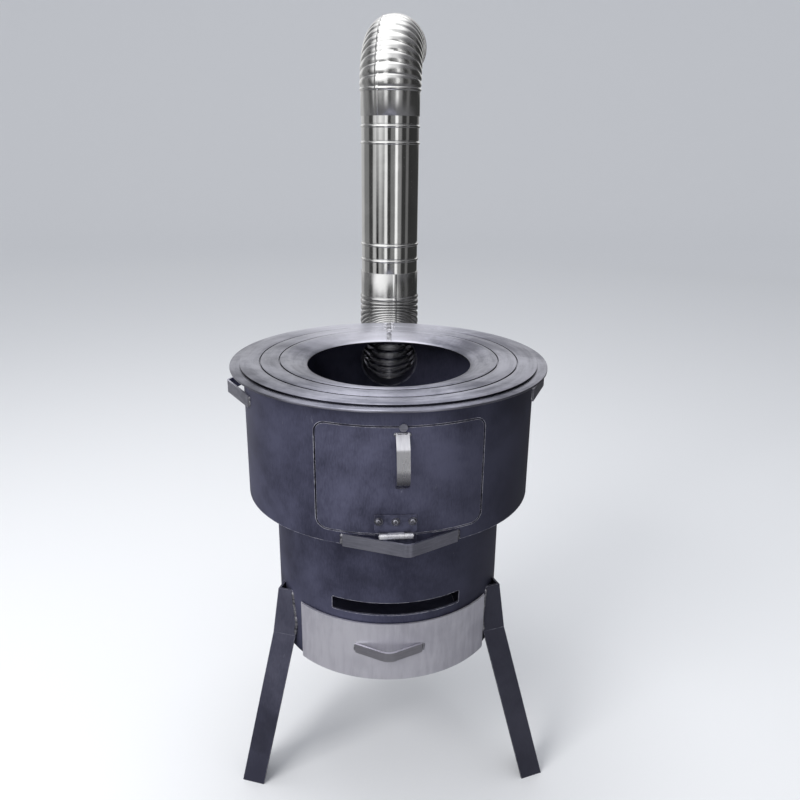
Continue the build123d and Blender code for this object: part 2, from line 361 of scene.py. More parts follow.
def mill_scale(name, dark, light, worn, rough=0.46, edge=1.5 * MM, grain=(9, 9, 2.2)):
    """Hot-rolled sheet: blue-grey oxide with cloudy patches, faint drag lines and rubbed edges.

    It is painted darker on the right of the stove: painted shade, where the studio light falls away."""
    n = Nodes(name)
    clouds = n.noise(5.5, 5, 0.55, distortion=0.6)
    patches = n.noise(17, 4, 0.6, offset=3.1)
    drag = n.noise(60, 3, 0.6, source=n.scaled(grain))
    fine = n.noise(420, 2, 0.7)
    tone = n.weighted((clouds, 0.55), (patches, 0.3), (drag, 0.15))
    colour = n.mix(n.span(tone, 0.36, 0.64), dark, light)
    smudge = n.span(n.noise(7.5, 3, 0.5, offset=8.3), 0.60, 0.72, 0, 0.45)
    colour = n.mix(smudge, colour, dimmed(dark, 0.45))
    scuffs = n.span(n.noise(34, 6, 0.75, source=n.scaled((3, 3, 0.8)), offset=5.7), 0.66, 0.74, 0, 0.35)
    colour = n.mix(scuffs, colour, tuple(0.5 * (a + b) for a, b in zip(light, worn)))
    # painted shade: the sheet is darker towards the right of the stove (azimuth 75)
    colour = n.mix(n.towards(75, 0.15, 0.62), colour, dimmed(light, 0.30))
    broken = n.span(n.noise(90, 4, 0.7, offset=1.9), 0.38, 0.58, 0.15, 1)
    colour = n.edged(colour, edge, broken, worn)
    roughness = n.span(tone, 0.3, 0.7, rough - 0.07, rough + 0.09)
    relief = n.weighted((patches, 0.7), (fine, 0.12))
    return n.done(colour, roughness, n.bump(relief, 0.35 * MM, 0.5), 0.55)


def plate_rings(name, cut_colour):
    """Plasma-cut plate rubbed round its axis: pale faces with arcs of drag marks, and its cut edges.

    Three tones are laid by direction from the axis: a painted reflection makes the back paler, and painted
    shade darkens the left and right."""
    n = Nodes(name)
    arcs = n.noise(1.5, 5, 0.62, source=n.polar(around=1.3, rise=n.from_axis(62)), distortion=0.25)
    clouds = n.noise(8.5, 5, 0.6, distortion=0.9)
    specks = n.noise(150, 4, 0.7)
    tone = n.weighted((arcs, 0.40), (clouds, 0.48), (specks, 0.12))
    colour = n.mix(n.span(tone, 0.38, 0.62), (0.20, 0.205, 0.26), (0.52, 0.525, 0.62))
    blue = n.span(n.noise(4.5, 2, 0.5, offset=6.1), 0.55, 0.75, 0, 0.35)
    colour = n.mix(blue, colour, (0.27, 0.28, 0.40))
    scorch = n.span(n.noise(21, 4, 0.65, offset=2.6), 0.62, 0.74, 0, 0.5)
    colour = n.mix(scorch, colour, (0.13, 0.13, 0.165))
    # painted reflection: the plate is paler towards the back (azimuth 190)
    colour = n.mix(n.towards(190, 0.45, 0.55), colour, (0.84, 0.84, 0.92))
    # painted shade on the left (azimuth -85), broken up by the clouds
    left_shade = n.math("MULTIPLY", n.towards(-85, 0.35), n.span(clouds, 0.3, 0.7, 0.82, 0.55))
    colour = n.mix(left_shade, colour, (0.075, 0.078, 0.105))
    # painted shade on the right (azimuth 85)
    colour = n.mix(n.towards(85, 0.35, 0.42), colour, (0.10, 0.10, 0.13))
    colour = n.edged(colour, 0.9 * MM, 0.55, (0.66, 0.66, 0.74))
    # Upright cut faces take cut_colour; on the rings this near black is partly the oxide of the cut, partly
    # painted shade along each ring's shadowed edge
    colour = n.mix(n.upright(), colour, cut_colour)
    roughness = n.span(tone, 0.3, 0.7, 0.42, 0.29)
    relief = n.weighted((arcs, 0.5), (specks, 0.18))
    tangent = n.add("ShaderNodeTangent", direction_type="RADIAL", axis="Z")
    n.feed(n.shader.inputs["Tangent"], tangent.outputs[0])
    return n.done(colour, roughness, n.bump(relief, 0.3 * MM, 0.35), 1.0, Anisotropic=0.75,
                  Anisotropic_Rotation=0.25)


def satin_bar(name, dark, light, rough, grain, worn=(0.62, 0.62, 0.67), shade_heights=None):
    """Drawn flat bar, with fine lines along its length.

    Given a pair of heights, the bar is painted darker from the first down to the second: painted shade."""
    n = Nodes(name)
    lines = n.noise(90, 4, 0.65, source=n.scaled(grain))
    clouds = n.noise(14, 4, 0.6, distortion=0.5)
    tone = n.weighted((lines, 0.42), (clouds, 0.58))
    colour = n.mix(n.span(tone, 0.30, 0.70), dark, light)
    colour = n.edged(colour, 0.9 * MM, 0.75, worn)
    if shade_heights:
        # painted shade: darker from the first height down to the second
        colour = n.mix(n.span(n.axes(n.place)[2], *shade_heights, 0, 0.92), colour, (0.045, 0.045, 0.062))
    roughness = n.span(tone, 0.3, 0.7, rough + 0.08, rough - 0.06)
    return n.done(colour, roughness, n.bump(lines, 0.06 * MM, 0.3), 1.0)


def drawer_sheet(name):
    """Light bare sheet: even satin grey with faint vertical drag and finger smudges."""
    n = Nodes(name)
    drag = n.noise(26, 4, 0.6, source=n.scaled((3.4, 3.4, 0.6)))
    clouds = n.noise(7, 4, 0.55, distortion=0.7)
    fine = n.noise(500, 2, 0.7)
    tone = n.weighted((drag, 0.35), (clouds, 0.65))
    colour = n.mix(n.span(tone, 0.34, 0.66), (0.56, 0.55, 0.62), (0.80, 0.79, 0.86))
    smudge = n.span(n.noise(11, 3, 0.5, offset=4.4), 0.60, 0.72, 0, 0.3)
    colour = n.mix(smudge, colour, (0.46, 0.455, 0.52))
    colour = n.edged(colour, 1.2 * MM, 0.8, (0.80, 0.79, 0.83))
    roughness = n.span(tone, 0.3, 0.7, 0.56, 0.44)
    relief = n.weighted((drag, 0.6), (fine, 0.1))
    return n.done(colour, roughness, n.bump(relief, 0.2 * MM, 0.35), 0.75)


def polished_sheet(name, rough, tint, relief=0.30):
    """Rolled stainless sheet: near mirror, with fine lines along the pipe and finger haze."""
    n = Nodes(name)
    lines = n.noise(3, 4, 0.6, source=n.polar((PIPE.x, PIPE.y), around=9, rise=1.6))
    haze = n.noise(16, 4, 0.6, distortion=0.8)
    fine = n.noise(300, 2, 0.6, source=n.scaled((1, 1, 0.15)))
    colour = n.mix(n.span(haze, 0.35, 0.65), dimmed(tint, 0.90), tint)
    colour = n.edged(colour, 0.4 * MM, 0.4, (0.92, 0.92, 0.92))
    uneven = n.weighted((haze, 0.6), (fine, 0.4))
    roughness = n.span(uneven, 0.3, 0.7, rough, rough + 0.09)
    return n.done(colour, roughness, n.bump(lines, 0.10 * MM, relief), 1.0)


def zinc_plate(name, dark, light):
    """Plated fasteners, with fine spangle."""
    n = Nodes(name)
    spangle = n.add("ShaderNodeTexVoronoi", feature="F1")
    n.feed(spangle.inputs["Vector"], n.place)
    n.feed(spangle.inputs["Scale"], 420.0)
    clouds = n.noise(120, 3, 0.6)
    tone = n.weighted((spangle.outputs["Distance"], 0.5), (clouds, 0.6))
    colour = n.mix(n.span(tone, 0.25, 0.75), dark, light)
    roughness = n.span(tone, 0.25, 0.75, 0.34, 0.22)
    return n.done(colour, roughness, n.bump(clouds, 0.1 * MM, 0.4), 1.0)


def hinge_leaf(name):
    """The leaves are dark sheet, and their rolled knuckles are rubbed bright."""
    n = Nodes(name)
    pin = middle("hinge_pin")
    patches = n.noise(60, 4, 0.6)
    colour = n.mix(n.span(patches, 0.35, 0.65), (0.036, 0.037, 0.063), (0.108, 0.111, 0.174))
    colour = n.edged(colour, 0.6 * MM, 0.4, (0.45, 0.45, 0.52))
    away = n.vector_math("SUBTRACT", n.place, (0, pin.y, pin.z))
    across = n.vector_math("MULTIPLY", away, (0, 1, 1))
    near = n.span(n.vector_math("LENGTH", across, out="Value"), 5.2 * MM, 4.4 * MM)
    bright = n.mix(n.span(patches, 0.3, 0.7), (0.55, 0.55, 0.60), (0.80, 0.80, 0.83))
    colour = n.mix(near, colour, bright)
    roughness = n.math("SUBTRACT", n.span(patches, 0.3, 0.7, 0.44, 0.52), n.math("MULTIPLY", near, 0.2))
    return n.done(colour, roughness, n.bump(patches, 0.1 * MM, 0.4), 0.6)


def weld_metal(name, dark, light):
    """Mild steel weld: mottled light and dark grey, smoother where it is lighter."""
    n = Nodes(name)
    mottled = n.noise(260, 4, 0.65)
    patches = n.noise(60, 3, 0.6, offset=2.2)
    tone = n.weighted((mottled, 0.6), (patches, 0.4))
    colour = n.mix(n.span(tone, 0.38, 0.62), dark, light)
    roughness = n.span(mottled, 0.3, 0.7, 0.50, 0.24)
    return n.done(colour, roughness, n.bump(mottled, 0.25 * MM, 0.6), 0.9)


def cast_iron(name):
    """Dark sand-cast skin with a little rust."""
    n = Nodes(name)
    sand = n.noise(650, 4, 0.75)
    patches = n.noise(24, 4, 0.6)
    colour = n.mix(n.span(patches, 0.35, 0.65), (0.022, 0.022, 0.025), (0.055, 0.055, 0.06))
    rust = n.span(n.noise(40, 4, 0.6, offset=9.0), 0.62, 0.74, 0, 0.35)
    colour = n.mix(rust, colour, (0.085, 0.045, 0.028))
    colour = n.edged(colour, 0.8 * MM, 0.5, (0.16, 0.16, 0.17))
    return n.done(colour, n.span(sand, 0.3, 0.7, 0.55, 0.75), n.bump(sand, 0.4 * MM, 0.7), 0.5)


DRUM_STEEL = mill_scale("drum_mill_scale", (0.036, 0.037, 0.066), (0.106, 0.109, 0.176), (0.78, 0.78, 0.88))
DOOR_STEEL = mill_scale("door_mill_scale", (0.038, 0.039, 0.068), (0.138, 0.141, 0.222), (0.78, 0.78, 0.88),
                        rough=0.42)
LEG_STEEL = mill_scale("leg_mill_scale", (0.050, 0.051, 0.080), (0.112, 0.113, 0.160), (0.46, 0.46, 0.54),
                       rough=0.5, grain=(8, 8, 1.5), edge=1.2 * MM)
# The rings' near-black cut faces are partly cut oxide and partly painted shade under each ring's edge.
RING_STEEL = plate_rings("ring_plate", (0.030, 0.030, 0.040))
FLANGE_STEEL = plate_rings("flange_plate", (0.34, 0.34, 0.41))
BAR_STEEL = satin_bar("dark_flat_bar", (0.32, 0.325, 0.40), (0.58, 0.585, 0.68), 0.34, (0.5, 0.5, 5.0))
STRAP_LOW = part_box("door_handle")[0].z
# The door strap is painted darker towards its bottom: painted shade.
BRIGHT_STRAP = satin_bar("bright_strap", (0.66, 0.66, 0.71), (0.86, 0.86, 0.90), 0.30, (5.0, 0.5, 0.5),
                         worn=(0.90, 0.90, 0.93), shade_heights=(STRAP_LOW + 34 * MM, STRAP_LOW + 8 * MM))
PULL_STRAP = satin_bar("pull_strap", (0.50, 0.49, 0.55), (0.68, 0.67, 0.73), 0.42, (0.5, 0.5, 5.0),
                       worn=(0.82, 0.81, 0.85))
DRAWER_STEEL = drawer_sheet("drawer_sheet")
POLISHED = polished_sheet("polished_stainless", 0.045, (0.70, 0.70, 0.695))
PLEATED = polished_sheet("pleated_stainless", 0.16, (0.74, 0.74, 0.735))
FLUE_PLEATED = polished_sheet("flue_stainless", 0.16, (0.56, 0.56, 0.56))
FLUE_LINING = polished_sheet("flue_lining", 0.07, (0.80, 0.80, 0.86), relief=0.03)
ZINC = zinc_plate("bright_zinc", (0.50, 0.50, 0.53), (0.78, 0.78, 0.80))
BOLT_STEEL = zinc_plate("smoked_zinc", (0.14, 0.14, 0.17), (0.40, 0.40, 0.45))
WELD = weld_metal("weld_metal", (0.10, 0.10, 0.12), (0.48, 0.48, 0.52))
WELD_PALE = weld_metal("weld_metal_rubbed", (0.20, 0.20, 0.23), (0.64, 0.64, 0.69))
GRATE_IRON = cast_iron("cast_grate")
HINGE_STEEL = hinge_leaf("hinge_leaf")

NODE_MATERIALS = {
    "drum_steel": DRUM_STEEL, "door_steel": DOOR_STEEL, "ring_steel": RING_STEEL,
    "bar_steel": BAR_STEEL, "bright_strap": BRIGHT_STRAP, "drawer_steel": DRAWER_STEEL,
    "leg_steel": LEG_STEEL, "zinc": ZINC, "stainless": POLISHED, "grate_iron": GRATE_IRON,
}


def paint_cad_nodes():
    """Every CAD node takes the finished material of its slot in the record."""
    for part in frame["record"]["subparts"]:
        slots = NODES[part["node"]].data.materials
        slots.clear()
        slots.append(NODE_MATERIALS[part["material_slot"]])
    for node in ("hinge_door_leaf", "hinge_base_leaf"):
        NODES[node].data.materials[0] = HINGE_STEEL
    NODES["drawer_handle"].data.materials[0] = PULL_STRAP
    NODES["door_washers"].data.materials[0] = BOLT_STEEL


# ---- cooking rings and flange

def flat_profile(node):
    """Closed profile of a flat ring, its four edges rounded."""
    inner, outer = radii(node)
    low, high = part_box(node)
    corners = ((outer - EDGE, high.z - EDGE), (inner + EDGE, high.z - EDGE),
               (inner + EDGE, low.z + EDGE), (outer - EDGE, low.z + EDGE))
    profile = []
    for quarter, (radius, height) in enumerate(corners):
        for step in range(4):
            angle = math.radians(90 * quarter + 30 * step)
            profile.append((radius + EDGE * math.cos(angle), height + EDGE * math.sin(angle)))
    return profile


def dished_profile(node):
    """Profile of the smallest ring, which dips from its flat rim to the pot hole."""
    inner, outer = radii(node)
    low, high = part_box(node)
    bend = outer - 9 * MM
    rim_top = low.z + PLATE
    top = [(outer, high.z - EDGE), (outer - 0.3 * EDGE, high.z - 0.3 * EDGE), (outer - EDGE, high.z),
           (bend + 4 * MM, high.z), (bend, high.z - 0.3 * MM), (bend - 4 * MM, high.z - 1.3 * MM)]
    slope = (high.z - 1.3 * MM - rim_top) / (bend - 4 * MM - inner)
    mouth = [(inner + 8 * MM, rim_top + slope * 8 * MM), (inner + EDGE, rim_top), (inner, rim_top - EDGE)]
    under = [(inner, low.z + EDGE), (inner + EDGE, low.z + 0.2 * MM)]
    back = [(bend - 4 * MM, high.z - PLATE - 1.5 * MM), (bend + 3 * MM, high.z - PLATE),
            (outer - EDGE, high.z - PLATE), (outer, high.z - PLATE + EDGE)]
    return top + mouth + under + back


def plate_ring(name, node, body, profile, material=RING_STEEL):
    shape = skin(turned_loops(profile(node), Vector(), even_angles(240)), wrap=True)
    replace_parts(finish_mesh(name, shape, body, material), node)


def cooking_plates():
    plate_ring("flange_plate", "top_flange", "stove", flat_profile, FLANGE_STEEL)
    plate_ring("large_ring_plate", "outer_ring", "large_ring", flat_profile)
    plate_ring("medium_ring_plate", "middle_ring", "medium_ring", flat_profile)
    plate_ring("small_ring_plate", "inner_ring", "small_ring", dished_profile)


# ---- welds

def bead_loops(path, width, height, seed):
    """A weld bead: overlapping scallops along a path of (place, normal), half sunk in the steel."""
    loops = []
    travelled = 0.0
    ripple_pitch = 0.42 * width
    for index, (place, normal) in enumerate(path):
        before = path[max(index - 1, 0)][0]
        after = path[min(index + 1, len(path) - 1)][0]
        along = (after - before).normalized()
        travelled += (place - before).length
        across = along.cross(normal).normalized()
        phase = (travelled / ripple_pitch) % 1.0
        wander = drift(travelled * 160, seed * 7.3, 0)
        crown = 0.62 + 0.38 * math.sqrt(phase) + 0.22 * wander
        ends = min(1, (min(index, len(path) - 1 - index) + 0.35) / 3.0)
        half = width / 2 * (0.86 + 0.14 * math.sqrt(phase) + 0.16 * wander) * math.sqrt(ends)
        rise = height * crown * ends
        loop = []
        for step in range(9):
            angle = math.pi * step / 8
            loop.append(place + across * half * math.cos(angle) + normal * rise * math.sin(angle))
        for side in (-0.8, 0.8):
            loop.append(place + across * half * side - normal * 0.5 * MM)
        loops.append(loop)
    return loops


def weld(name, runs, width, height, body, material=WELD):
    """Runs of bead as one piece. Each run is a list of (place, normal)."""
    parts = [skin(bead_loops(run, width, height, seed), wrap=False) for seed, run in enumerate(runs)]
    return finish_mesh(name, joined(parts), body, material, sharp=70)


def straight_run(start, end, normal, pitch=0.8 * MM):
    count = max(3, round((end - start).length / pitch))
    return [(start.lerp(end, step / count), normal) for step in range(count + 1)]


def back_run(start, end, normal=UP):
    """A straight bead in line with the flue, between two places given as (radius, height)."""
    return straight_run(at(BACK, *start), at(BACK, *end), normal)


def blob_runs(inner, outer, top, seed):
    """Short stray beads beside the weld."""
    runs = []
    for index in range(16):
        side = -1 if index % 2 else 1
        shift = side * (4.5 + 7 * abs(drift(index * 1.9, seed, 4))) * MM
        share = (index + 0.5) / 16
        place = at(BACK, inner + (outer - inner) * share, top) + sideways(BACK) * shift
        half = outward(BACK) * (1.2 + 1.4 * abs(drift(index * 2.7, seed, 8))) * MM
        runs.append(straight_run(place - half, place + half, UP, 0.5 * MM))
    return runs


def ring_welds():
    """The butt weld that closes the flange and each ring, all in line with the flue."""
    hole_low, hole_high = radii("inner_ring")
    dish_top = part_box("inner_ring")[1].z
    plates = (("flange_weld", "top_flange", "stove", radii("outer_ring")[1] + MM, 1),
              ("large_ring_weld", "outer_ring", "large_ring", None, 2),
              ("medium_ring_weld", "middle_ring", "medium_ring", None, 3))
    for name, node, body, start, seed in plates:
        inner, outer = radii(node)
        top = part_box(node)[1].z
        run = back_run((start or inner + MM, top), (outer - MM, top))
        strays = blob_runs(start or inner, outer, top, seed)
        weld(name, [run, *strays], WELD_WIDTH, 1.3 * MM, body, WELD_PALE)
    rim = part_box("inner_ring")[0].z + PLATE
    bend = hole_high - 12 * MM
    down = back_run((hole_low + MM, rim), (bend, dish_top - 1.2 * MM))
    flat = back_run((bend + MM, dish_top), (hole_high - MM, dish_top))
    weld("small_ring_weld", [down, flat], WELD_WIDTH, 1.3 * MM, "small_ring", WELD_PALE)


def bracket_runs(node):
    """Two beads up the edges where a leg bracket meets the lower drum."""
    points = corner_points(node)
    spine = max(points, key=lambda point: math.hypot(point.x, point.y))
    azimuth = azimuth_of(spine)
    facing, across = outward(azimuth), sideways(azimuth)
    low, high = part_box(node)
    spine_low = max(point.dot(facing) for point in points if point.z < low.z + MM)
    spine_high = max(point.dot(facing) for point in points if point.z > high.z - MM)
    reach = max(abs(point.dot(across)) for point in points if point.z < low.z + MM)
    runs = []
    for side in (-1, 1):
        run = []
        for step in range(61):
            height = low.z + 2 * MM + (high.z - low.z - 4 * MM) * step / 60
            front = spine_low + (spine_high - spine_low) * (height - low.z) / (high.z - low.z)
            # each flange runs back at 45 degrees from the spine until it meets the drum
            inside = max(2 * BASE_R ** 2 - front ** 2, 0)
            meet = min((front - math.sqrt(inside)) / 2, reach)
            place = facing * (front - meet) + across * side * meet
            away = place.normalized()
            normal = (away + across * side * 0.9).normalized()
            run.append((away * max(BASE_R, place.length) + UP * height, normal))
        runs.append(run)
    return runs


def leg_welds():
    for side in ("left", "right", "rear"):
        node = f"leg_bracket_{side}"
        weld(f"bracket_weld_{side}", bracket_runs(node), 5.5 * MM, 2.2 * MM, "stove")


def bar_end_runs(node, azimuth, wall):
    """A bead up each end of a bowed bar, where it meets the drum."""
    facing, across = outward(azimuth), sideways(azimuth)
    points = corner_points(node)
    span = max(abs(point.dot(across)) for point in points)
    low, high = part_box(node)
    runs = []
    for side in (-1, 1):
        depth = math.sqrt(wall ** 2 - span ** 2)
        foot = facing * depth + across * side * (span + 0.8 * MM)
        normal = (foot.normalized() + across * side * 0.7).normalized()
        runs.append(straight_run(foot + UP * (low.z + MM), foot + UP * (high.z - MM), normal))
    return runs


def bar_welds():
    weld("rest_bar_weld", bar_end_runs("rest_bar", 0, DRUM_R), 6 * MM, 2.6 * MM, "stove")
    for side, azimuth in (("left", -90), ("right", 90)):
        runs = bar_end_runs(f"{side}_handle", azimuth, DRUM_R)
        weld(f"{side}_handle_weld", runs, 5 * MM, 2.2 * MM, "stove")
    handle = azimuth_of(middle("drawer_handle"))
    front_r = radii("drawer_front")[1]
    weld("drawer_handle_weld", bar_end_runs("drawer_handle", handle, front_r), 4 * MM, 1.6 * MM,
         "ash_drawer", WELD_PALE)


def door_handle_welds():
    low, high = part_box("door_handle")
    wide = (high.x - low.x) / 2
    runs = []
    for height, tilt in ((high.z - 1.5 * MM, 0.8), (low.z + 2 * MM, -0.8)):
        normal = Vector((0, -1, tilt)).normalized()
        start = Vector((low.x + MM, -DRUM_R, height))
        runs.append(straight_run(start, start + Vector((2 * (wide - MM), 0, 0)), normal))
    for side in (-1, 1):
        start = Vector((side * (wide + MM), -DRUM_R + 0.2 * MM, high.z - 6 * MM))
        runs.append(straight_run(start, start + UP * 6 * MM, Vector((side * 0.6, -0.8, 0))))
    weld("door_handle_weld", runs, 4.5 * MM, 2.4 * MM, "fuel_door", WELD)


def corner_run(radius, height, start, stop):
    """A bead in the corner between a drum and the plate above it, from one azimuth to another."""
    run = []
    for step in range(41):
        azimuth = start + (stop - start) * step / 40
        run.append((at(azimuth, radius, height), (outward(azimuth) - UP).normalized()))
    return run


def seam_welds():
    """Tack welds under the flange and round the step, and the beads that close both drums at the back."""
    flange_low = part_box("top_flange")[0].z
    floor_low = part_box("drum_floor")[0].z
    starts = [BACK + 15 + 30 * tack for tack in range(12)]
    under = [corner_run(DRUM_R + 0.4 * MM, flange_low, start, start + 7) for start in starts]
    step = [corner_run(BASE_R + 0.4 * MM, floor_low, start, start + 9) for start in starts]
    weld("flange_tacks", under, 5 * MM, 2.4 * MM, "stove")
    weld("step_tacks", step, 5 * MM, 2.4 * MM, "stove")
    seams = ((BASE_R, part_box("leg_bracket_rear")[1].z + 4 * MM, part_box("lower_drum")[1].z - 6 * MM),
             (DRUM_R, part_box("upper_drum")[0].z + MM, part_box("flue_stub")[0].z - 6 * MM))
    runs = [back_run((wall, low), (wall, high), outward(BACK)) for wall, low, high in seams]
    weld("drum_seams", runs, 5 * MM, 0.9 * MM, "stove")


def stub_weld():
    """The bead that follows the saddle where the flue stub leaves the drum."""
    low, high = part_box("flue_stub")
    stub_r = (high.z - low.z) / 2 + 0.5 * MM
    height = (high.z + low.z) / 2
    facing, across = outward(BACK), sideways(BACK)
    run = []
    for step in range(241):
        angle = math.tau * step / 240
        side, rise = stub_r * math.sin(angle), stub_r * math.cos(angle)
        depth = math.sqrt(DRUM_R ** 2 - side ** 2)
        radial = across * math.sin(angle) + UP * math.cos(angle)
        place = facing * depth + across * side + UP * (height + rise)
        run.append((place, (facing + radial).normalized()))
    weld("flue_stub_weld", [run], 5.5 * MM, 2.4 * MM, "stove")


def spatter():
    """A few beads of weld spatter on the smallest ring, beside the pot hole."""
    hole = radii("inner_ring")[0]
    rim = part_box("inner_ring")[0].z + PLATE
    parts = []
    for index in range(26):
        side = -1 if index % 2 else 1
        azimuth = side * (90 + 34 * drift(index * 1.7, 3.0, 0) - 8)
        reach = 3 * MM + 9 * MM * abs(drift(index * 2.3, 9.0, 1))
        size = 0.5 * MM + 0.7 * MM * abs(drift(index * 3.1, 5.0, 2))
        place = at(azimuth, hole + reach, rim + DISH_SLOPE * reach)
        half = sideways(azimuth) * size
        run = straight_run(place - half, place + half, UP, 0.4 * size)
        parts.append(skin(bead_loops(run, 2 * size, size, index), wrap=False))
    finish_mesh("ring_spatter", joined(parts), "small_ring", WELD, sharp=70)


# ---- chimney

def seam_angles(seam):
    """Angles round a pipe, closer together over its lock seam."""
    clear = 1.6 * SEAM_HALF_ANGLE
    angles = [angle for angle in even_angles(120) if abs(math.remainder(angle - seam, math.tau)) > clear]
    shares = (-1.4, -1.1, -0.85, 0, 0.85, 1.1, 1.4)
    return sorted(angles + [(seam + SEAM_HALF_ANGLE * share) % math.tau for share in shares])


def seam_rise(angle, seam):
    away = abs(math.remainder(angle - seam, math.tau)) / SEAM_HALF_ANGLE
    return SEAM_HEIGHT * (1 - smooth_step((away - 0.85) / 0.25))


def pleat_drop(turn, pleats, wall):
    """0 on the crown of a pleat, 1 in the crease between two.

    On the inner face of the sheet, where wall isn't 0, the crease is a round ridge."""
    share = (turn * pleats) % 1.0
    if wall:
        return (0.5 + 0.5 * math.cos(math.tau * share)) ** 2.2
    return abs(2 * share - 1) ** 2.8


def pleated_radius(crown, pleats, seam, wall):
    """Radius of a pleated bend as a function of (turn, angle): deeper pleats inside, dents outside."""
    def radius_at(turn, angle):
        inside = 0.5 + 0.5 * math.cos(angle)
        depth = PLEAT_DEPTH_OUT + (PLEAT_DEPTH_IN - PLEAT_DEPTH_OUT) * inside
        dent = 0 if wall else 0.25 * MM * drift(math.cos(angle) * 3, math.sin(angle) * 3, turn * 9)
        return crown - wall - depth * pleat_drop(turn, pleats, wall) + dent + 0.6 * seam_rise(angle, seam)
    return radius_at


def straight_loops(angles, profile, wall, seam, start, along, inward, across):
    """Loops along a straight stretch. The profile is a list of (distance, radius) of its outer face."""
    return [hoop(start + along * distance, inward, across, angles,
                 lambda angle: radius - wall + seam_rise(angle, seam)) for distance, radius in profile]


def bend_loops(angles, radius_at, start, facing, across, rise, bend, rows):
    """Loops of a bend that leaves a vertical pipe and turns to facing."""
    loops = []
    for row in range(1, rows + 1):
        turn = row / rows
        phi = math.radians(90 * turn)
        heart = start + facing * bend * (1 - math.cos(phi)) + UP * rise * bend * math.sin(phi)
        inward = facing * math.cos(phi) - UP * rise * math.sin(phi)
        loops.append(hoop(heart, inward, across, angles, lambda angle: radius_at(turn, angle)))
    return loops


def elbow_skin(collar, mouth, neck, facing, across, rise, bend, crown, pleats, rows, seam):
    """A pleated elbow as a sheet tube, and the number of its points that lie on the outer face.

    It leaves the pipe at the height neck, going up (rise 1) or down (rise -1), and turns to facing.
    collar and mouth are the profiles of its straight ends, as lists of (distance, radius)."""
    angles = seam_angles(seam)
    centre = Vector((PIPE.x, PIPE.y, 0))
    mouth_at = centre + facing * bend + UP * (neck + rise * bend)
    walls = []
    for wall in (0, PLEAT_WALL):
        loops = straight_loops(angles, collar, wall, seam, centre, UP, facing, across)
        loops += bend_loops(angles, pleated_radius(crown, pleats, seam, wall), centre + UP * neck,
                            facing, across, rise, bend, rows)
        loops += straight_loops(angles, mouth, wall, seam, mouth_at, facing, UP * -rise, across)
        walls.append(loops)
    outer, inner = walls
    return skin(outer + inner[::-1], wrap=True), len(outer) * len(angles)


def swell(start, length, crown, height):
    """Profile of a round bead whose top, halfway along, is at the crown."""
    return [(start + length * step / 8, crown - height + height * math.sin(math.pi * step / 8))
            for step in range(9)]


def top_elbow():
    low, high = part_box("top_elbow")
    outlet = MOUNTS["chimney_outlet"]
    crown = high.z - outlet["pos_m"][2] - 0.4 * MM
    direction = azimuth_of(Vector(outlet["axis"]))
    reach = Vector(outlet["pos_m"]) - PIPE
    bend = math.hypot(reach.x, reach.y) - MOUTH_LENGTH / 2
    neck = outlet["pos_m"][2] - bend
    pipe_r = outlet["dims"]["r_mm"] * MM + 0.1 * MM
    collar = [(low.z, pipe_r + 0.2 * MM), (low.z + 0.4 * MM, pipe_r + 0.6 * MM),
              (neck - 9 * MM, pipe_r + 0.6 * MM), (neck - 7 * MM, pipe_r + 1.0 * MM)]
    collar += swell(neck - 7 * MM, 7 * MM, crown, 2.2 * MM)
    lip = [(1.5 * MM, crown - 1.4 * MM), (MOUTH_LENGTH - 4 * MM, crown - 1.6 * MM)]
    for step in range(1, 7):
        angle = math.pi * step / 6
        lip.append((MOUTH_LENGTH - 2 * MM - 2 * MM * math.cos(angle),
                    crown - 1.6 * MM + 1.6 * MM * math.sin(angle)))
    shape, _ = elbow_skin(collar, lip, neck, outward(direction), sideways(direction), 1, bend, crown,
                          PLEATS_TOP, PLEATS_TOP * 10, math.radians(160))
    piece = finish_mesh("pleated_top_elbow", shape, "cowl", PLEATED, sharp=60)
    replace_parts(piece, "top_elbow")


def low_elbow():
    """Built downwards from the pipe, so that its bend turns towards the drum."""
    low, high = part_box("lower_elbow")
    stub_low, stub_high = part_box("flue_stub")
    flue_z = (stub_low.z + stub_high.z) / 2
    stub_r = (stub_high.z - stub_low.z) / 2
    crown = flue_z - low.z - 0.4 * MM
    pipe_r = stub_r + 2 * MM
    neck = flue_z + LOW_BEND
    collar = [(high.z, pipe_r + 0.5 * MM), (high.z - 0.5 * MM, pipe_r + 1.2 * MM),
              (neck + 10.5 * MM, pipe_r + 1.2 * MM), (neck + 9.5 * MM, pipe_r + 1.4 * MM)]
    collar += swell(neck + 9 * MM, -9 * MM, crown, 2.4 * MM)
    tail = math.hypot(PIPE.x, PIPE.y) - LOW_BEND - SLEEVE_END_R
    sleeve = [(0.5 * MM, crown - 1.5 * MM), (2 * MM, stub_r + 1.6 * MM),
              (tail - 0.6 * MM, stub_r + 1.6 * MM), (tail, stub_r + 1.1 * MM)]
    shape, outside = elbow_skin(collar, sleeve, neck, outward(BACK) * -1, sideways(BACK), -1, LOW_BEND,
                                crown, PLEATS_LOW, PLEATS_LOW * 12, math.radians(-11))
    piece = finish_mesh("pleated_flue_elbow", shape, "flue_elbow", FLUE_PLEATED, sharp=60)
    piece.data.materials.append(FLUE_LINING)
    for face in piece.data.polygons:
        face.material_index = 1 if min(face.vertices) >= outside else 0
    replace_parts(piece, "lower_elbow")


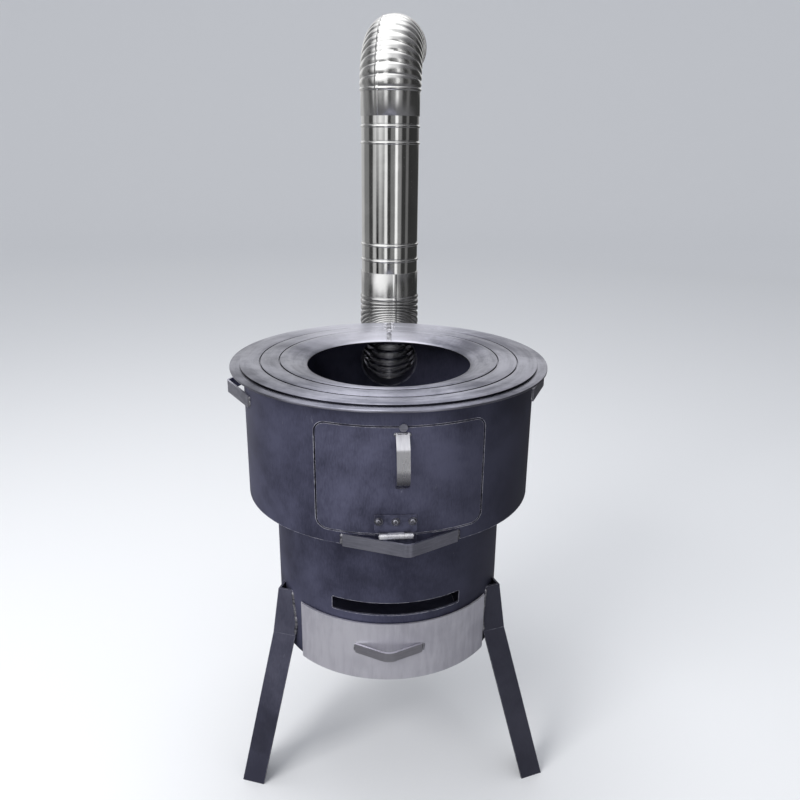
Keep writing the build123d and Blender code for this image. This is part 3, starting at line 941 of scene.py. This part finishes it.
def bead_profile(height, radius):
    """A rolled bead with a shallow groove over it, as (radius, height) going up."""
    profile = []
    for step in range(9):
        angle = math.pi * step / 8
        profile.append((radius + 1.7 * MM * math.sin(angle), height - 2.4 * MM * math.cos(angle)))
    groove = height + 2.4 * MM
    for step in range(1, 7):
        angle = math.pi * step / 6
        profile.append((radius - 0.7 * MM * math.sin(angle), groove + 1.5 * MM * (1 - math.cos(angle))))
    return profile


def pipe_ripple(angle, height):
    """The sheet isn't perfectly round: up to two tenths of a millimetre, in bands along the pipe."""
    slow = drift(math.cos(angle) * 2.2, math.sin(angle) * 2.2, height * 0.8)
    quick = drift(math.cos(angle) * 7.0, math.sin(angle) * 7.0, height * 1.7 + 5)
    return 0.22 * MM * slow + 0.035 * MM * quick


def chimney_pipe():
    low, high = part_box("chimney_pipe")
    radius = (high.x - low.x) / 2 - 1.8 * MM
    outer = [(radius - 0.4 * MM, low.z), (radius, low.z + 0.4 * MM)]
    for bead in PIPE_BEADS:
        outer += [(radius, bead - 7 * MM), *bead_profile(bead, radius), (radius, bead + 8 * MM)]
    outer += [(radius, high.z - 0.4 * MM), (radius - 0.4 * MM, high.z)]
    filled = [outer[0]]
    for point in outer[1:]:
        start = filled[-1]
        pieces = max(1, math.ceil((point[1] - start[1]) / (18 * MM)))
        for step in range(1, pieces + 1):
            filled.append(tuple(a + (b - a) * step / pieces for a, b in zip(start, point)))
    inner = [(r - 0.7 * MM, z) for r, z in filled[::-1]]
    loops = turned_loops(filled + inner, PIPE, even_angles(288), pipe_ripple)
    piece = finish_mesh("polished_pipe", skin(loops, wrap=True), "pipe", POLISHED, sharp=60)
    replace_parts(piece, "chimney_pipe")


# ---- door bolts

def bolt_head(centre, facing, radius, rise):
    """A button head with a hexagon socket, as loops from the rim to the floor of the socket."""
    across = UP.cross(facing).normalized()
    rim = 0.35 * MM
    rows = [(radius * 0.94, -0.1 * MM), (radius, rim)]
    for step in range(1, 6):
        angle = math.radians(15 * step)
        rows.append((radius * (0.50 + 0.50 * math.cos(angle)), rim + (rise - rim) * math.sin(angle)))
    loops = [hoop(centre + facing * depth, across, UP, even_angles(36), lambda angle: size)
             for size, depth in rows]
    for size, depth in ((0.36 * radius, rise), (0.34 * radius, rise - 1.4 * MM)):
        loops.append(hoop(centre + facing * depth, across, UP, even_angles(36),
                          lambda angle: size * hexagon(angle)))
    return skin(loops, wrap=False)


def hexagon(angle):
    """Distance to the side of a hexagon whose corners are at 1."""
    return math.cos(math.pi / 6) / math.cos(angle % (math.pi / 3) - math.pi / 6)


def bolt_shank(centre, facing, radius, inwards):
    """The threaded shank behind a head: one ridge for each turn of the thread."""
    across = UP.cross(facing).normalized()
    half_turns = 28
    loops = []
    for row in range(half_turns + 1):
        size = radius - (0.35 * MM if row % 2 else 0)
        heart = centre - facing * inwards * row / half_turns
        loops.append(hoop(heart, across, UP, even_angles(20), lambda angle: size))
    return skin(loops, wrap=False)


def door_bolts():
    low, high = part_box("door_bolts")
    height = (low.z + high.z) / 2
    washers = corner_points("door_washers")
    head_r = (high.z - low.z) / 2
    columns = sorted(point.x for point in washers)
    reach = 6.0 * MM
    left, right = columns[0] + reach, columns[-1] - reach
    parts = []
    for share in (0, 0.5, 1):
        x = left + (right - left) * share
        facing = outward(math.degrees(math.asin(x / DRUM_R)))
        centre = facing * (DRUM_R + 3 * MM) + UP * height
        parts += [bolt_head(centre, facing, head_r, 3.2 * MM), bolt_shank(centre, facing, 2.5 * MM, 12 * MM)]
    piece = finish_mesh("button_head_bolts", joined(parts), "fuel_door", BOLT_STEEL)
    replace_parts(piece, "door_bolts")


# ---- studio

def backdrop():
    """A pale floor that sweeps up into a wall far behind the stove."""
    reach, rise, bend = 7.0, 12.0, 4.0
    profile = [(-12.0, 0.0)]
    for step in range(33):
        angle = math.radians(90 * step / 32)
        profile.append((reach + bend * math.sin(angle), bend * (1 - math.cos(angle))))
    profile.append((reach + bend, rise))
    points = [(x, y, z) for y, z in profile for x in (-20, 20)]
    faces = [(2 * row, 2 * row + 1, 2 * row + 3, 2 * row + 2) for row in range(len(profile) - 1)]
    n = Nodes("studio_floor_paint")
    colour = n.mix(n.noise(240, 2, 0.5), (0.84, 0.85, 0.865), (0.86, 0.87, 0.885))
    sheet = new_object("studio_floor", (points, faces), n.done(colour, 0.85, None, 0.0))
    smoothed(sheet.data)
    sheet.visible_glossy = False


# What polished steel mirrors: tall lamps and dark flags that stand round the stove, as
# (azimuth, brightness). Between two entries the brightness runs straight.
STUDIO_BANDS = (
    (-180, 0.55), (-150, 0.60), (-136, 0.55), (-130, 0.28), (-101, 0.26), (-97, 0.08), (-81, 0.06),
    (-78, 0.62), (-66, 0.62), (-63, 0.02), (-54, 0.02), (-51, 0.45), (-42, 0.42), (-40, 0.26),
    (-29, 0.30), (-27, 1.15), (-17, 1.15), (-15, 0.07), (-3, 0.06), (-1, 0.26), (17, 0.28),
    (19, 1.35), (28, 1.35), (30, 0.36), (43, 0.32), (46, 0.05), (64, 0.05), (67, 0.20),
    (77, 0.18), (80, 0.04), (150, 0.05), (165, 0.40))


def studio_surround():
    """A sphere that only shows in reflections: tall lamps, dark flags, and a bright strip overhead."""
    radius, rows = 6, 24
    tilts = [math.pi * (row / rows - 0.5) for row in range(1, rows)]
    profile = [(radius * math.cos(tilt), SURROUND_Z + radius * math.sin(tilt)) for tilt in tilts]
    shape = skin(turned_loops(profile, Vector(), even_angles(2 * rows)), wrap=False)
    sphere = new_object("studio_surround", shape, surround_glow())
    for ray in ("camera", "diffuse", "shadow", "transmission", "volume_scatter"):
        setattr(sphere, f"visible_{ray}", False)


def surround_glow():
    """Emission only: bands round the stove, a glow behind it, the ground, the ceiling and both lamps."""
    n = Nodes("studio_surround")
    n.tree.nodes.clear()
    n.place = n.add("ShaderNodeTexCoord").outputs["Object"]
    x, y, z = n.axes(n.place)
    sway = n.math("MULTIPLY", n.math("SUBTRACT", n.noise(0.5, 2, 0.5), 0.5), 0.10)
    angle = n.math("ADD", n.math("ARCTAN2", x, n.math("MULTIPLY", y, -1.0)), sway)
    ramp = n.add("ShaderNodeValToRGB")
    n.feed(ramp.inputs[0], n.math("ADD", n.math("DIVIDE", angle, math.tau), 0.5))
    paint_bands(ramp.color_ramp)
    height = n.math("SUBTRACT", z, SURROUND_Z)
    horizon = n.span(n.math("ABSOLUTE", n.math("SUBTRACT", height, 1.5)), 1.6, 0.5)
    glow = n.math("MULTIPLY", n.span(y, 3.6, 5.6), horizon)
    walls = n.mix(glow, ramp.outputs[0], (1.0, 1.0, 1.0))
    walls = n.mix(n.span(height, -1.3, -3.6), walls, (0.16, 0.16, 0.17))
    beside = n.span(n.math("ABSOLUTE", x), 1.0, 4.0)
    overhead = n.mix(beside, (0.95, 0.95, 0.96), (0.16, 0.16, 0.17))
    colour = n.mix(n.span(height, 1.9, 3.6), walls, overhead)
    facing = n.vector_math("NORMALIZE", n.vector_math("SUBTRACT", n.place, (0, 0, SURROUND_Z)))
    for place, target, level in ((KEY_AT, KEY_TO, 1.7), (TOP_AT, TOP_TO, 2.2)):
        lamp = (Vector(place) - Vector(target)).normalized()
        match = n.vector_math("DOT_PRODUCT", facing, tuple(lamp), out="Value")
        colour = n.mix(n.span(match, 0.74, 0.99), colour, (level, level, level))
    emission = n.add("ShaderNodeEmission")
    n.feed(emission.inputs[0], colour)
    n.feed(n.add("ShaderNodeOutputMaterial").inputs[0], emission.outputs[0])
    n.material.cycles.emission_sampling = "NONE"
    return n.material


def paint_bands(ramp):
    """A ramp holds 32 stops at most, which is what STUDIO_BANDS has."""
    ramp.interpolation = "LINEAR"
    while len(ramp.elements) > 1:
        ramp.elements.remove(ramp.elements[-1])
    for index, (azimuth, level) in enumerate(STUDIO_BANDS):
        place = (azimuth + 180) / 360
        stop = ramp.elements[0] if index == 0 else ramp.elements.new(place)
        stop.position = place
        stop.color = (level, level, level, 1)


def area_light(name, place, target, size, power, colour=(1, 1, 1)):
    light = bpy.data.lights.new(name, "AREA")
    light.shape = "RECTANGLE"
    light.size, light.size_y = size
    light.energy = power
    light.color = colour
    lamp = bpy.data.objects.new(name, light)
    lamp.location = place
    lamp.rotation_euler = (Vector(target) - Vector(place)).to_track_quat("-Z", "Y").to_euler()
    lamp.visible_camera = False
    lamp.visible_glossy = False
    bpy.context.scene.collection.objects.link(lamp)
    return lamp


def lights():
    world = bpy.data.worlds.new("studio_air")
    world.use_nodes = True
    background = world.node_tree.nodes["Background"]
    background.inputs["Color"].default_value = (0.93, 0.95, 1.0, 1)
    background.inputs["Strength"].default_value = 0.64
    bpy.context.scene.world = world
    area_light("key_softbox", KEY_AT, KEY_TO, (1.5, 1.5), 58, (1.0, 0.99, 0.98))
    area_light("top_softbox", TOP_AT, TOP_TO, (1.6, 1.2), 26)


def camera():
    data = bpy.data.cameras.new("camera")
    data.lens = LENS
    data.sensor_width = SENSOR
    data.clip_start, data.clip_end = 0.05, 100
    data.dof.use_dof = False
    forward = Vector((math.sin(YAW) * math.cos(PITCH), math.cos(YAW) * math.cos(PITCH), math.sin(PITCH)))
    level = Vector((math.cos(YAW), -math.sin(YAW), 0))
    lifted = level.cross(forward)
    right = level * math.cos(ROLL) + lifted * math.sin(ROLL)
    up = lifted * math.cos(ROLL) - level * math.sin(ROLL)
    turn = Matrix((right, up, -forward)).transposed().to_4x4()
    eye = bpy.data.objects.new("camera", data)
    eye.matrix_world = Matrix.Translation(CAMERA_AT) @ turn
    bpy.context.scene.collection.objects.link(eye)
    bpy.context.scene.camera = eye
    bpy.context.scene.view_settings.view_transform = "Standard"


# ---- the whole scene


def build():
    camera()
    backdrop()
    studio_surround()
    lights()
    paint_cad_nodes()
    cooking_plates()
    ring_welds()
    leg_welds()
    bar_welds()
    door_handle_welds()
    seam_welds()
    stub_weld()
    spatter()
    chimney_pipe()
    top_elbow()
    low_elbow()
    door_bolts()


build()
